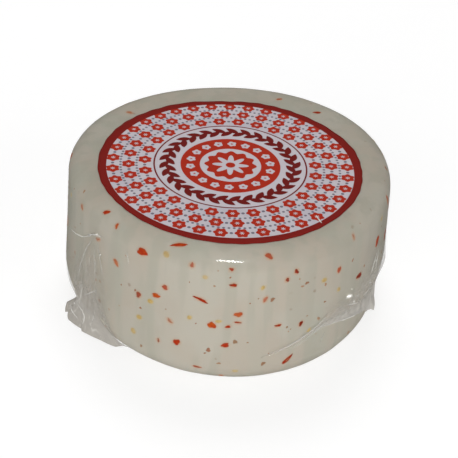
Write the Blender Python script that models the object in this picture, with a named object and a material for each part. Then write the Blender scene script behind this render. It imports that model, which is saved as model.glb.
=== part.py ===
"""A whole wheel of fresh pecorino with chilli, vacuum-packed in clear film, with a round paper label on top.

Units are metres and +Z is up. The origin is the centre of the base. The front is at -Y, and an azimuth
is counted from +X towards +Y, so the front is at azimuth -90 degrees.
"""

import math
import random

import bmesh
import bpy
from mathutils import Matrix, Vector
from mathutils.bvhtree import BVHTree

MM = 0.001

# The wheel of cheese, inside its tight film
WHEEL_RADIUS = 90 * MM  # at the top of the side
WHEEL_HEIGHT = 86.3 * MM
BASE_SPREAD = 4.2 * MM  # how much wider the settled base is than the top
SHOULDER_RADIUS = 10.6 * MM  # rounding of the top edge
FOOT_RADIUS = 21 * MM  # rounding of the bottom edge
WORN_FOOT_RADIUS = 34 * MM  # the same, where the right-hand edge is pressed in
WORN_FOOT_AZIMUTH = 4  # degrees, the middle of that stretch
WORN_FOOT_SPREAD = 29  # degrees to each side of it
OUT_OF_ROUND = {2: (-0.0065, 0.0014), 3: (-0.0092, 0.0159)}  # lobes: cosine and sine share of the radius
WHEEL_SEGMENTS = 80
FOOT_RINGS = 5
SIDE_HEIGHTS = (32 * MM, 44 * MM, 56 * MM, 66 * MM)
SHOULDER_RINGS = 4

# The paper label on the top face
LABEL_RADIUS = 72.3 * MM
LABEL_THICKNESS = 0.4 * MM
LABEL_CENTRE = (-0.8 * MM, -7.6 * MM)  # it was laid a little towards the front
LABEL_GAP = 0.3 * MM
LABEL_SEGMENTS = 96

# The film where it is gathered into an ear. A row holds an azimuth in degrees and, in millimetres, the height
# of the sheet's root, the height below which it hangs free, and its free edge's height and stand-off.
LEFT_EAR = (
    (-163, 12, 7, 3.5, 10.0),
    (-158, 20, 8, 2.0, 15.6),
    (-150, 44, 14, 1.4, 17.6),
    (-142, 64, 19, 1.4, 16.0),
    (-134, 36, 17, 1.4, 10.4),
    (-126, 11, 8, 1.6, 3.0),
)
RIGHT_EAR = (
    (-76, 26, 26, 24.0, 0.7),
    (-66, 31, 31, 28.0, 0.9),
    (-57, 38, 33, 31.0, 1.0),
    (-50, 43, 33, 31.0, 1.1),
    (-43, 43, 31, 28.0, 1.3),
    (-35, 42, 28, 23.0, 2.2),
    (-26, 42, 24, 17.5, 5.2),
    (-19, 42, 22, 16.0, 3.4),
    (-8, 40, 22, 16.5, 0.9),
    (4, 34, 23, 17.0, 0.7),
    (14, 28, 24, 19.0, 0.7),
)
EAR_THICKNESS = 1.4 * MM
EAR_LIFT = 0.8 * MM  # how far the sheet stands off the wheel where it lies flat on it
EAR_ROOT_SINK = 0.9 * MM
EAR_FLARE = 0.7  # under 1, the sheet swings out early
EAR_COLUMNS = 22
EAR_ROWS = 7
PLEAT_DEPTH = 0.7 * MM
PLEAT_ON_WHEEL = 0.3  # share of that depth where the sheet lies on the wheel
PLEAT_FREE_AT = 5 * MM  # stand-off from which the pleats have their whole depth
PLEATS = {"left": 3.5, "right": 4.5}

# Creases of the film that stand up from the side: azimuth in degrees and height in millimetres
CREASES = (
    ((-164, 54), (-155, 58), (-147, 61)),
    ((-141, 68), (-137, 72), (-132, 74)),
    ((-132, 70), (-130, 56), (-129, 42)),
    ((-20, 68), (-25, 58), (-29, 50)),
)
CREASE_RADIUS = 0.9 * MM
CREASE_LIFT = 0.1 * MM
CREASE_STEPS = 6  # stations between two points of a crease

EAR_ZONES = ((-164, -124, 66), (-58, 24, 50))  # azimuths, and the height below which film covers the side

# The chilli flakes and seeds are spread evenly by the golden angle, each nudged by a seeded draw.
SCATTER_HEIGHTS = (7 * MM, 84 * MM)
FLAKE_COUNT = 112
FLAKE_LENGTHS = (2.6 * MM, 8.2 * MM)
FLAKE_SLENDERNESS = (0.25, 0.8)  # width over length
FLAKE_CORNERS = (5, 7)
FLAKE_PROUD = 0.4 * MM
FLAKE_DEPTH = 1.1 * MM
FLAKE_TAPER = 0.8  # the outer face over the inner one
SEED_COUNT = 30
SEED_LENGTHS = (3.0 * MM, 4.4 * MM)
SEED_WIDTH_SHARE = (0.6, 0.9)
SEED_HALF_DEPTH = 0.9 * MM
SEED_SINK = 0.4 * MM
CLEAR_APART = 6 * MM
SCATTER_SEED = 11
GOLDEN_ANGLE = math.pi * (3 - math.sqrt(5))


def new_material(name, colour, roughness, alpha=1.0):
    material = bpy.data.materials.new(name)
    material.use_nodes = True
    shader = material.node_tree.nodes["Principled BSDF"]
    shader.inputs["Base Color"].default_value = (*colour, 1.0)
    shader.inputs["Roughness"].default_value = roughness
    shader.inputs["Metallic"].default_value = 0.0
    shader.inputs["Alpha"].default_value = alpha
    return material


def new_object(name, bm, material):
    """An object made from a bmesh, with its faces pointing out."""
    bmesh.ops.recalc_face_normals(bm, faces=bm.faces)
    mesh = bpy.data.meshes.new(name)
    bm.to_mesh(mesh)
    bm.free()
    mesh.materials.append(material)
    thing = bpy.data.objects.new(name, mesh)
    bpy.context.scene.collection.objects.link(thing)
    return thing


def mix(start, end, share):
    return start + (end - start) * share


def roundness(azimuth):
    """The wheel was shaped in a cloth, so its outline has shallow lobes."""
    lobes = OUT_OF_ROUND.items()
    return 1 + sum(c * math.cos(n * azimuth) + s * math.sin(n * azimuth) for n, (c, s) in lobes)


def foot_radius(azimuth):
    """Rounding of the bottom edge, larger where it is pressed in."""
    away = (math.degrees(azimuth) - WORN_FOOT_AZIMUTH + 180) % 360 - 180
    return mix(FOOT_RADIUS, WORN_FOOT_RADIUS, math.exp(-((away / WORN_FOOT_SPREAD) ** 2)))


def edge_cut(depth, radius):
    """How far a rounded edge stands back, at this depth below its flat face."""
    rise = radius - min(max(depth, 0), radius)
    return radius - math.sqrt(radius**2 - rise**2)


def wheel_radius(azimuth, height):
    side = (WHEEL_RADIUS + BASE_SPREAD * (1 - height / WHEEL_HEIGHT)) * roundness(azimuth)
    return side - edge_cut(height, foot_radius(azimuth)) - edge_cut(WHEEL_HEIGHT - height, SHOULDER_RADIUS)


def on_side(azimuth, height, stand_off=0.0):
    """A point at this azimuth and height, off the wheel's surface by stand_off."""
    radius = wheel_radius(azimuth, height) + stand_off
    return Vector((radius * math.cos(azimuth), radius * math.sin(azimuth), height))


def ring_heights():
    """Heights of the rings that carry the wheel's profile, from the base up."""
    quarter = math.pi / 2
    foot = [FOOT_RADIUS * (1 - math.cos(quarter * i / FOOT_RINGS)) for i in range(FOOT_RINGS + 1)]
    shoulder = [
        WHEEL_HEIGHT - SHOULDER_RADIUS * (1 - math.sin(quarter * i / SHOULDER_RINGS))
        for i in range(SHOULDER_RINGS + 1)
    ]
    return foot + list(SIDE_HEIGHTS) + shoulder


def wheel_bmesh():
    """The profile turned about the axis, then pulled out of round."""
    bm = bmesh.new()
    profile = [bm.verts.new((0, 0, 0))]
    profile += [bm.verts.new((wheel_radius(0, height), 0, height)) for height in ring_heights()]
    profile.append(bm.verts.new((0, 0, WHEEL_HEIGHT)))
    edges = [bm.edges.new(pair) for pair in zip(profile, profile[1:])]
    bmesh.ops.spin(
        bm,
        geom=profile + edges,
        cent=(0, 0, 0),
        axis=(0, 0, 1),
        dvec=(0, 0, 0),
        angle=2 * math.pi,
        steps=WHEEL_SEGMENTS,
        use_merge=True,
    )
    bmesh.ops.remove_doubles(bm, verts=bm.verts, dist=0.001 * MM)
    for vert in bm.verts:
        if vert.co.xy.length > MM:
            vert.co = on_side(math.atan2(vert.co.y, vert.co.x), vert.co.z)
    bmesh.ops.recalc_face_normals(bm, faces=bm.faces)
    return bm


def between_rows(rows, azimuth):
    """The values of an ear's rows at an azimuth, in degrees, eased from one row to the next."""
    for low, high in zip(rows, rows[1:]):
        if azimuth <= high[0]:
            share = (azimuth - low[0]) / (high[0] - low[0])
            eased = share * share * (3 - 2 * share)
            return [mix(a, b, eased) for a, b in zip(low[1:], high[1:])]
    return list(rows[-1][1:])


def ear_point(rows, pleats, across, down):
    """A point of an ear's sheet: across runs along the wheel, and down runs from the root to the free edge."""
    degrees = mix(rows[0][0], rows[-1][0], across)
    root, leaves, edge, stand_off = (value * MM for value in between_rows(rows, degrees))
    azimuth = math.radians(degrees)
    height = mix(root, edge, down)
    if down == 0:
        return on_side(azimuth, height, -EAR_ROOT_SINK)
    freedom = min(stand_off / PLEAT_FREE_AT, 1)
    pleat = PLEAT_DEPTH * freedom * down * math.cos(2 * math.pi * pleats * across)
    if height >= leaves:
        return on_side(azimuth, height, EAR_LIFT + PLEAT_ON_WHEEL * pleat)
    share = (leaves - height) / (leaves - edge)
    start = wheel_radius(azimuth, leaves) + EAR_LIFT
    end = wheel_radius(azimuth, edge) + stand_off
    radius = mix(start, end, share**EAR_FLARE) + pleat * mix(PLEAT_ON_WHEEL, 1, share)
    return Vector((radius * math.cos(azimuth), radius * math.sin(azimuth), height))


def ear(name, rows, material):
    """The thin sheet of gathered film, given its thickness inwards."""
    bm = bmesh.new()
    bmesh.ops.create_grid(bm, x_segments=EAR_COLUMNS, y_segments=EAR_ROWS, size=0.5)
    for vert in bm.verts:
        vert.co = ear_point(rows, PLEATS[name], vert.co.x + 0.5, 0.5 - vert.co.y)
    bmesh.ops.recalc_face_normals(bm, faces=bm.faces)
    outward = sum((face.normal.dot(face.calc_center_median()) for face in bm.faces), 0.0)
    if outward < 0:
        bmesh.ops.reverse_faces(bm, faces=bm.faces)
    bmesh.ops.solidify(bm, geom=bm.faces, thickness=EAR_THICKNESS)
    return new_object(f"{name}_ear", bm, material)


def crease(index, points, material):
    """A crease: a slender tube half sunk in the side, thinner at its ends."""
    curve = bpy.data.curves.new(f"crease_{index}", "CURVE")
    curve.dimensions = "3D"
    curve.bevel_depth = CREASE_RADIUS
    curve.bevel_resolution = 0
    curve.use_fill_caps = True
    stations = [
        [mix(a, b, step / CREASE_STEPS) for a, b in zip(start, end)]
        for start, end in zip(points, points[1:])
        for step in range(CREASE_STEPS)
    ]
    stations.append(points[-1])
    spline = curve.splines.new("POLY")
    spline.points.add(len(stations) - 1)
    for i, (degrees, height) in enumerate(stations):
        place = on_side(math.radians(degrees), height * MM, CREASE_LIFT)
        spline.points[i].co = (*place, 1)
        spline.points[i].radius = mix(0.25, 1.0, math.sin(math.pi * i / (len(stations) - 1)))
    guide = bpy.data.objects.new(curve.name, curve)
    bpy.context.scene.collection.objects.link(guide)
    mesh = bpy.data.meshes.new_from_object(guide.evaluated_get(bpy.context.evaluated_depsgraph_get()))
    bpy.data.objects.remove(guide)
    bm = bmesh.new()
    bm.from_mesh(mesh)
    bmesh.ops.remove_doubles(bm, verts=bm.verts, dist=0.001 * MM)
    bpy.data.meshes.remove(mesh)
    return new_object(f"crease_{index}", bm, material)


def spot_matrix(skin, row):
    """Where a flake or seed lies on the wheel's skin: its own Z points out, and turn spins it about that."""
    azimuth, height, turn = math.radians(row[0]), row[1] * MM, math.radians(row[4])
    middle = Vector((0, 0, WHEEL_HEIGHT / 2))
    place, normal, _, _ = skin.ray_cast(middle, (on_side(azimuth, height) - middle).normalized())
    right = Vector((0, 0, 1)).cross(normal).normalized()
    up = normal.cross(right)
    axes = Matrix((right, up, normal)).transposed().to_4x4()
    return Matrix.Translation(place) @ axes @ Matrix.Rotation(turn, 4, "Z")


def flake(name, place, row, draw, material):
    """A chip of chilli: a many-cornered plate, tapered outwards, with only its outer face above the skin."""
    bm = bmesh.new()
    corners = draw.randint(*FLAKE_CORNERS)
    made = bmesh.ops.create_circle(bm, cap_ends=True, radius=0.5, segments=corners)
    for vert in made["verts"]:
        vert.co *= draw.uniform(0.8, 1.1)
        vert.co = Vector((vert.co.x * row[2] * MM, vert.co.y * row[3] * MM, -FLAKE_DEPTH))
    raised = bmesh.ops.extrude_face_region(bm, geom=bm.faces[:])["geom"]
    top = [item for item in raised if isinstance(item, bmesh.types.BMVert)]
    for vert in top:
        vert.co = Vector((vert.co.x * FLAKE_TAPER, vert.co.y * FLAKE_TAPER, FLAKE_PROUD))
    bmesh.ops.transform(bm, matrix=place, verts=bm.verts)
    return new_object(name, bm, material)


def seed(name, place, row, material):
    """A chilli seed: a flattened bean, mostly sunk in the paste."""
    bm = bmesh.new()
    bmesh.ops.create_icosphere(bm, subdivisions=1, radius=1)
    bmesh.ops.scale(bm, vec=(row[2] * MM / 2, row[3] * MM / 2, SEED_HALF_DEPTH), verts=bm.verts)
    bmesh.ops.translate(bm, vec=(0, 0, -SEED_SINK), verts=bm.verts)
    bmesh.ops.transform(bm, matrix=place, verts=bm.verts)
    return new_object(name, bm, material)


def covered(degrees, height):
    """Whether an ear's film lies over this part of the side."""
    return any(low < degrees < high and height < top for low, high, top in EAR_ZONES)


def scattered(count, lengths, width_share, draw, taken):
    """Rows for the spots, evenly spread round the side: azimuth, height, length, width and turn."""
    rows = []
    for i in range(count):
        degrees = math.degrees(i * GOLDEN_ANGLE) + draw.uniform(-5, 5)
        degrees = (degrees + 180) % 360 - 180
        height = mix(*SCATTER_HEIGHTS, (i + draw.uniform(0, 1)) / count)
        length = mix(*lengths, draw.random() ** 2)
        row = (degrees, height / MM, length / MM, length * draw.uniform(*width_share) / MM, draw.uniform(0, 180))
        place = on_side(math.radians(degrees), height)
        if covered(degrees, height / MM):
            continue
        if all((place - other).length > CLEAR_APART for other in taken):
            rows.append(row)
            taken.append(place)
    return rows


def fuse(body, pieces):
    """One union of the pieces with the body."""
    group = bpy.data.collections.new("fused_pieces")
    bpy.context.scene.collection.children.link(group)
    for piece in pieces:
        bpy.context.scene.collection.objects.unlink(piece)
        group.objects.link(piece)
    union = body.modifiers.new("fuse", "BOOLEAN")
    union.operation = "UNION"
    union.operand_type = "COLLECTION"
    union.collection = group
    union.material_mode = "TRANSFER"
    graph = bpy.context.evaluated_depsgraph_get()
    joined = bpy.data.meshes.new_from_object(body.evaluated_get(graph))
    body.modifiers.clear()
    body.data = joined
    for piece in pieces:
        bpy.data.objects.remove(piece)
    bpy.data.collections.remove(group)


def make_pack():
    """The sealed pack: the wheel in its tight film, with the film's ears and creases and the chilli in the paste."""
    film = new_material("clear_film", (0.60, 0.60, 0.59), 0.2, alpha=0.5)
    paste = new_material("pecorino_paste", (0.68, 0.63, 0.52), 0.35)
    chilli = new_material("chilli", (0.42, 0.05, 0.02), 0.4)
    seeds = new_material("chilli_seed", (0.62, 0.48, 0.20), 0.4)
    bm = wheel_bmesh()
    skin = BVHTree.FromBMesh(bm)
    body = new_object("vacuum_pack", bm, paste)
    draw = random.Random(SCATTER_SEED)
    taken = []
    flakes = scattered(FLAKE_COUNT, FLAKE_LENGTHS, FLAKE_SLENDERNESS, draw, taken)
    beans = scattered(SEED_COUNT, SEED_LENGTHS, SEED_WIDTH_SHARE, draw, taken)
    pieces = [ear("left", LEFT_EAR, film), ear("right", RIGHT_EAR, film)]
    pieces += [crease(i, points, film) for i, points in enumerate(CREASES)]
    for i, row in enumerate(flakes):
        pieces.append(flake(f"flake_{i}", spot_matrix(skin, row), row, draw, chilli))
    for i, row in enumerate(beans):
        pieces.append(seed(f"seed_{i}", spot_matrix(skin, row), row, seeds))
    fuse(body, pieces)
    body.data.shade_smooth()
    body.data.set_sharp_from_angle(angle=math.radians(30))
    return body


def make_label():
    """The round paper label, lying on the top face."""
    paper = new_material("label_paper", (0.55, 0.52, 0.54), 0.45)
    bm = bmesh.new()
    made = bmesh.ops.create_circle(bm, cap_ends=True, radius=LABEL_RADIUS, segments=LABEL_SEGMENTS)
    underside = WHEEL_HEIGHT + LABEL_GAP
    bmesh.ops.translate(bm, vec=(*LABEL_CENTRE, underside), verts=made["verts"])
    raised = bmesh.ops.extrude_face_region(bm, geom=bm.faces[:])["geom"]
    top = [item for item in raised if isinstance(item, bmesh.types.BMVert)]
    bmesh.ops.translate(bm, vec=(0, 0, LABEL_THICKNESS), verts=top)
    return new_object("paper_label", bm, paper)


for thing in list(bpy.data.objects):
    bpy.data.objects.remove(thing)
make_pack()
make_label()
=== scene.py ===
import math
import random

import bmesh
import bpy
from mathutils import Matrix, Vector, kdtree, noise
from mathutils.bvhtree import BVHTree


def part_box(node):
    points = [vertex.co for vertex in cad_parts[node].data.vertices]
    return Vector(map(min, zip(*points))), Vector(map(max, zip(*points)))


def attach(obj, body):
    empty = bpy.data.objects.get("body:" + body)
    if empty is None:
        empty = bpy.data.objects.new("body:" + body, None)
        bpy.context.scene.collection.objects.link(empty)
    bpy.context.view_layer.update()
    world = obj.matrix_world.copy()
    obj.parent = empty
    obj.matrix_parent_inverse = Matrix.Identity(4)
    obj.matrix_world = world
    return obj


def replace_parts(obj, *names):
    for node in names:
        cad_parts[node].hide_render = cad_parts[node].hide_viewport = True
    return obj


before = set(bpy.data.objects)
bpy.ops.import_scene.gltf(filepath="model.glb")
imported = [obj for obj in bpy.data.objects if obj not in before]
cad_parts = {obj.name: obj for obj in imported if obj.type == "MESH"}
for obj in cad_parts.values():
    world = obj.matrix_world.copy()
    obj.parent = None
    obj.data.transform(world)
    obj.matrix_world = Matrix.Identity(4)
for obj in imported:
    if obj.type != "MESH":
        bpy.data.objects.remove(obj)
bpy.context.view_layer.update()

# A vacuum-packed wheel of pecorino. Metres, +Z up, the front at -Y.
# An azimuth runs from +X towards +Y, so the front is at -90 degrees.

mm = 0.001
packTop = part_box("vacuum_pack")[1].z
middle = Vector((0, 0, packTop / 2))
labelLow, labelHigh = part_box("paper_label")
print("frame loaded")


# The studio

studio = {
    "floorSize": 12,
    "floorColour": (0.36, 0.36, 0.36, 1),
    "floorGlow": 0.74,  # most of its light is its own, so that the shadow stays faint
    # the surroundings: under the horizon, over it and from 25 degrees up
    "below": (0.03, 0.03, 0.03, 1),
    "around": (0.12, 0.12, 0.12, 1),
    "above": (0.1, 0.1, 0.1, 1),
    # azimuth and elevation, distance, width and height, and power
    "front": (-105, 22, 1.6, 1.1, 1.1, 10.8),
    "side": (-145, 25, 1.6, 1, 1, 2.8),
    "right": (-35, 25, 1.6, 1, 1, 6.8),
    "back": (95, 62, 1.6, 0.9, 0.9, 11.3),
    # seen only as the highlight on the film
    "shine": (-88.5, 42, 0.72, 0.2, 0.09, 1),
}
view = {
    "lens": 94.76,  # mm, on a 36 mm sensor
    "place": (0, -0.567, 0.4383),
    "aim": (0.0007, 0.0012, 0.0377),
    "roll": 3.79,  # degrees
}


# Small helpers

def between(start, end, share):
    return start + (end - start) * share


def eased(value, low, high):
    share = min(max((value - low) / (high - low), 0), 1)
    return share * share * (3 - 2 * share)


def polar(azimuth, radius, height):
    return Vector((radius * math.cos(azimuth), radius * math.sin(azimuth), height))


def turnFrom(start, degrees):
    # from one azimuth to another, -180 to 180
    return (degrees - start + 180) % 360 - 180


def nearness(degrees, height, patch):
    # 1 in the middle of a patch, given as azimuth, height and their spreads, and less away from it
    at, level, spread, rise = patch
    return math.exp(-((turnFrom(at, degrees) / spread) ** 2) - ((height / mm - level) / rise) ** 2)


def newLayers(bm, *words):
    return {word: bm.verts.layers.float.new(word) for word in words}


def extruded(bm, face):
    made = bmesh.ops.extrude_face_region(bm, geom=[face])["geom"]
    return [item for item in made if isinstance(item, bmesh.types.BMFace)][0]


def turnedAbout(outline, turns, apart):
    # the outline turned about the axis; points closer than apart are merged
    bm = bmesh.new()
    spots = [bm.verts.new(spot) for spot in outline]
    edges = [bm.edges.new(pair) for pair in zip(spots, spots[1:])]
    bmesh.ops.spin(bm, geom=spots + edges, cent=(0, 0, 0), axis=(0, 0, 1), dvec=(0, 0, 0),
                   angle=2 * math.pi, steps=turns, use_merge=True)
    bmesh.ops.remove_doubles(bm, verts=bm.verts, dist=apart)
    return bm


def ball(bm, size):
    made = bmesh.ops.create_icosphere(bm, subdivisions=3, radius=1)["verts"]
    bmesh.ops.scale(bm, vec=size, verts=made)
    return made


def thicken(bm, thickness, facing):
    # a sheet made solid; facing is above 0 for a face that looks outwards
    bmesh.ops.recalc_face_normals(bm, faces=bm.faces)
    if sum(facing(face) for face in bm.faces) < 0:
        bmesh.ops.reverse_faces(bm, faces=bm.faces)
    bmesh.ops.solidify(bm, geom=bm.faces, thickness=thickness)


def shade(red, green, blue):
    # a colour as it looks on screen, 0 to 255, in the linear values that the shaders take
    steps = [value / 255 for value in (red, green, blue)]
    linear = [step / 12.92 if step < 0.04045 else ((step + 0.055) / 1.055) ** 2.4 for step in steps]
    return (*linear, 1)


def curved(t, a, b, c, d):
    # from b at 0 to c at 1, on a curve that also passes through a and d
    squared, cubed = 2 * a - 5 * b + 4 * c - d, 3 * b - a - 3 * c + d
    return (2 * b + (c - a) * t + squared * t * t + cubed * t ** 3) / 2


def smoothRoute(points, steps):
    # a smooth curve through the points, with so many stations from one to the next
    ends = [points[0], *points, points[-1]]
    route = []
    for before, start, end, after in zip(ends, ends[1:], ends[2:], ends[3:]):
        for step in range(steps):
            t = step / steps
            route.append([curved(t, *spots) for spots in zip(before, start, end, after)])
    route.append(list(points[-1]))
    return route


def lampPlace(azimuth, elevation, distance):
    azimuth, elevation = math.radians(azimuth), math.radians(elevation)
    away = polar(azimuth, math.cos(elevation), math.sin(elevation))
    return middle + away * distance


def addObject(name, data):
    made = bpy.data.objects.new(name, data)
    bpy.context.scene.collection.objects.link(made)
    return made


def addMesh(name, bm, finish):
    mesh = bpy.data.meshes.new(name)
    bm.to_mesh(mesh)
    bm.free()
    mesh.materials.append(finish)
    return addObject(name, mesh)


def addPiece(name, bm, finish):
    piece = addMesh(name, bm, finish)
    piece.data.shade_smooth()
    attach(piece, "root")
    print(name, len(piece.data.polygons), "faces")
    return piece


def addFilm(name, bm, finish):
    piece = addPiece(name, bm, finish)
    piece.visible_shadow = False  # it scatters light rather than stopping it
    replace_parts(piece, "vacuum_pack")
    return piece


# Finishes

class Strand:  # one socket of a finish, with the arithmetic that the finishes use
    def __init__(self, tree, socket=None):
        self.tree = tree
        self.socket = socket

    def add(self, kind, settings=None, values=None, out=0):
        node = self.tree.nodes.new(kind)
        for name, value in (settings or {}).items():
            setattr(node, name, value)
        for name, value in (values or {}).items():
            if isinstance(value, Strand):
                self.tree.links.new(value.socket, node.inputs[name])
            else:
                node.inputs[name].default_value = value
        return Strand(self.tree, node.outputs[out])

    def maths(self, operation, *others):
        return self.add("ShaderNodeMath", {"operation": operation}, dict(enumerate((self, *others))))

    def __add__(self, other):
        return self.maths("ADD", other)

    def __mul__(self, other):
        return self.maths("MULTIPLY", other)

    def __sub__(self, other):
        return self.maths("SUBTRACT", other)

    def __rsub__(self, other):
        return (self * -1) + other

    def __truediv__(self, other):
        return self.maths("DIVIDE", other)

    def __pow__(self, other):
        return self.maths("POWER", other)

    __radd__ = __add__
    __rmul__ = __mul__

    def step(self, low, high):
        # 0 up to low, 1 from high on, smooth between them; with low above high it falls instead
        values = {"Value": self, "From Min": low, "From Max": high}
        return self.add("ShaderNodeMapRange", {"interpolation_type": "SMOOTHSTEP"}, values)

    def tint(self, bare, full):
        # the first colour where this mask is 0 and the second where it is 1
        return self.add("ShaderNodeMix", {"data_type": "RGBA"}, {0: self, 6: bare, 7: full}, 2)

    def into(self, node, name):
        self.tree.links.new(self.socket, node.inputs[name])


def newFinish(name, **fixed):
    finish = bpy.data.materials.new(name)
    finish.use_nodes = True
    shader = finish.node_tree.nodes["Principled BSDF"]
    for words, value in fixed.items():
        shader.inputs[words.replace("_", " ")].default_value = value
    return finish, Strand(finish.node_tree), shader


def objectPlace(start, scale=(1, 1, 1), location=(0, 0, 0)):
    place = start.add("ShaderNodeTexCoord", out="Object")
    return place.add("ShaderNodeMapping", values={"Vector": place, "Scale": scale, "Location": location})


def cloud(place, size, detail=2, out="Fac"):
    # soft noise, with patches of this size in metres
    values = {"Vector": place, "Scale": 1 / size, "Detail": detail}
    return place.add("ShaderNodeTexNoise", values=values, out=out)


def addBump(place, height, strength, distance, shader):
    values = {"Height": height, "Strength": strength, "Distance": distance}
    place.add("ShaderNodeBump", values=values).into(shader, "Normal")


def attribute(start, name):
    return start.add("ShaderNodeAttribute", {"attribute_name": name}, out="Fac")


paste = {
    "plain": shade(189, 183, 169),
    "warm": shade(187, 178, 163),
    "cool": shade(179, 178, 163),
    "band": shade(177, 173, 158),
    "oil": shade(206, 128, 66),
    "yellow": shade(196, 172, 112),
    "speck": shade(140, 112, 88),
    "brown": shade(166, 138, 106),
    "stained": shade(184, 150, 122),
}


def pasteFinish():
    finish, start, shader = newFinish(
        "pecorinoPaste", Roughness=0.42, Coat_Weight=0.2, Coat_Roughness=0.06, Specular_IOR_Level=0.3,
        Subsurface_Weight=0.12, Subsurface_Radius=(1.0, 0.7, 0.45), Subsurface_Scale=0.003,
    )
    place = objectPlace(start)
    upright = objectPlace(start, scale=(1, 1, 0.13))
    colour = cloud(place, 0.034).step(0.42, 0.62).tint(paste["plain"], paste["warm"])
    colour = (cloud(upright, 0.02).step(0.48, 0.66) * 0.7).tint(colour, paste["cool"])
    colour = (cloud(upright, 0.008).step(0.46, 0.62) * 0.6).tint(colour, paste["band"])
    # small pieces of chilli skin deep in the paste
    wobble = place.add("ShaderNodeMix", {"data_type": "VECTOR"},
                       {0: 0.0016, 4: place, 5: cloud(place, 0.002, out="Color")}, 1)
    cell = {"Vector": wobble, "Scale": 105, "Randomness": 1}
    spot = place.add("ShaderNodeTexVoronoi", values=cell, out="Distance")
    chance = place.add("ShaderNodeTexVoronoi", values=cell, out="Color")
    chance = chance.add("ShaderNodeSeparateColor", values={0: chance})
    specks = spot.step(0.15, 0.06) * chance.step(0.55, 0.9) * 0.45
    colour = specks.tint(colour, paste["speck"])
    colour = attribute(start, "speckStain").tint(colour, paste["brown"])
    colour = attribute(start, "seedStain").tint(colour, paste["yellow"])
    colour = attribute(start, "chilliStain").tint(colour, paste["oil"])
    colour.into(shader, "Base Color")
    (0.36 + 0.14 * cloud(place, 0.011)).into(shader, "Roughness")
    addBump(place, cloud(place, 0.0018, 3), 0.05, mm, shader)
    return finish


chilli = {
    "bright": shade(190, 88, 26),
    "red": shade(170, 46, 10),
    "dark": shade(124, 38, 20),
    "brown": shade(112, 84, 54),
    "seed": shade(198, 172, 112),
    "seedShade": shade(184, 154, 88),
}


def chilliFinish():
    finish, start, shader = newFinish("chilliFlake", Roughness=0.45, Specular_IOR_Level=0.08)
    place = objectPlace(start)
    tone = attribute(start, "tone") + (cloud(place, 0.0016) - 0.5) * 0.7
    colour = tone.step(0.0, 0.5).tint(chilli["bright"], chilli["red"])
    colour = tone.step(0.5, 1.0).tint(colour, chilli["dark"])
    colour = tone.step(1.2, 1.6).tint(colour, chilli["brown"])
    colour = attribute(start, "buried").tint(colour, paste["stained"])
    colour.into(shader, "Base Color")
    addBump(place, cloud(place, 0.0008), 0.2, 0.2 * mm, shader)
    return finish


def seedFinish():
    finish, start, shader = newFinish("chilliSeed", Roughness=0.45, Specular_IOR_Level=0.1)
    place = objectPlace(start)
    colour = cloud(place, 0.002).step(0.35, 0.65).tint(chilli["seed"], chilli["seedShade"])
    attribute(start, "buried").tint(colour, paste["warm"]).into(shader, "Base Color")
    return finish


film = {
    "haze": shade(176, 171, 163),
    # painted highlight: the white that stands in for light caught on folds, creases and glints
    "paintedLight": shade(232, 230, 224),
    # the most that it mirrors: tight on the wheel, and gathered
    "sheen": 0.055,
    "gatheredSheen": 0.012,
}


def filmFinish(name, sheen):
    finish, start, shader = newFinish(name, Roughness=0.5, Specular_IOR_Level=0.0)
    output = finish.node_tree.nodes["Material Output"]
    place = objectPlace(start)
    paintedLight = attribute(start, "paintedLight")
    # the haze tone, turned to a painted highlight white where the painted-light attribute is set
    paintedLight.step(0.1, 0.9).tint(film["haze"], film["paintedLight"]).into(shader, "Base Color")
    streaks = cloud(place, 0.004, 3) - 0.5
    cover = (attribute(start, "haze") * (1 + streaks * 0.5)).maths("MINIMUM", 1)
    clear = start.add("ShaderNodeBsdfTransparent")
    solid = Strand(start.tree, shader.outputs[0])
    hazy = start.add("ShaderNodeMixShader", values={0: cover, 1: clear, 2: solid})
    gloss = start.add("ShaderNodeBsdfGlossy", values={"Roughness": 0.06})
    sheen = start.add("ShaderNodeFresnel", values={"IOR": 1.45}).maths("MINIMUM", sheen)
    start.add("ShaderNodeMixShader", values={0: sheen, 1: hazy, 2: gloss}).into(output, "Surface")
    return finish


ink = {
    "paper": shade(213, 206, 212),
    "paperShade": shade(204, 198, 206),
    "border": shade(134, 32, 26),
    "red": shade(184, 50, 30),
    "maroon": shade(118, 28, 25),
    "grey": shade(124, 118, 130),
}

# The print: rings of flowers on a pale field, round a plain medallion with a leaf wreath and a rosette.
# Sizes in millimetres.
printed = {
    "borderWidth": 4.6,
    "borderShift": (0.1, -0.7),  # its inner edge stands off the label's centre
    "flowerRings": ((46.9, 27), (55.6, 32), (64.3, 37)),  # radius and number
    "flowerRadius": 3.9,
    "greyDot": 0.9,
    "dotRadius": 0.75,
    "dotRings": ((51.3, 120), (60.0, 140)),
    "medallion": 42.2,
    "medallionLine": 0.9,
    "wreath": 34.8,
    "leaves": 30,
    "stem": 0.35,
    "leafShift": 1.6,
    "leafTilt": 0.62,
    "leafHalfLength": 4.6,
    "leafHalfWidth": 1.9,
    "band": (16.8, 27.4),
    "bandFlowers": 18,
    "bandFlowerRadius": 2.6,
    # mean radius, depth and number of their points
    "rosette": (13.4, 1, 12),
    "star": (7.4, 2.6, 8),
    "eye": 2.6,
}


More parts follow.
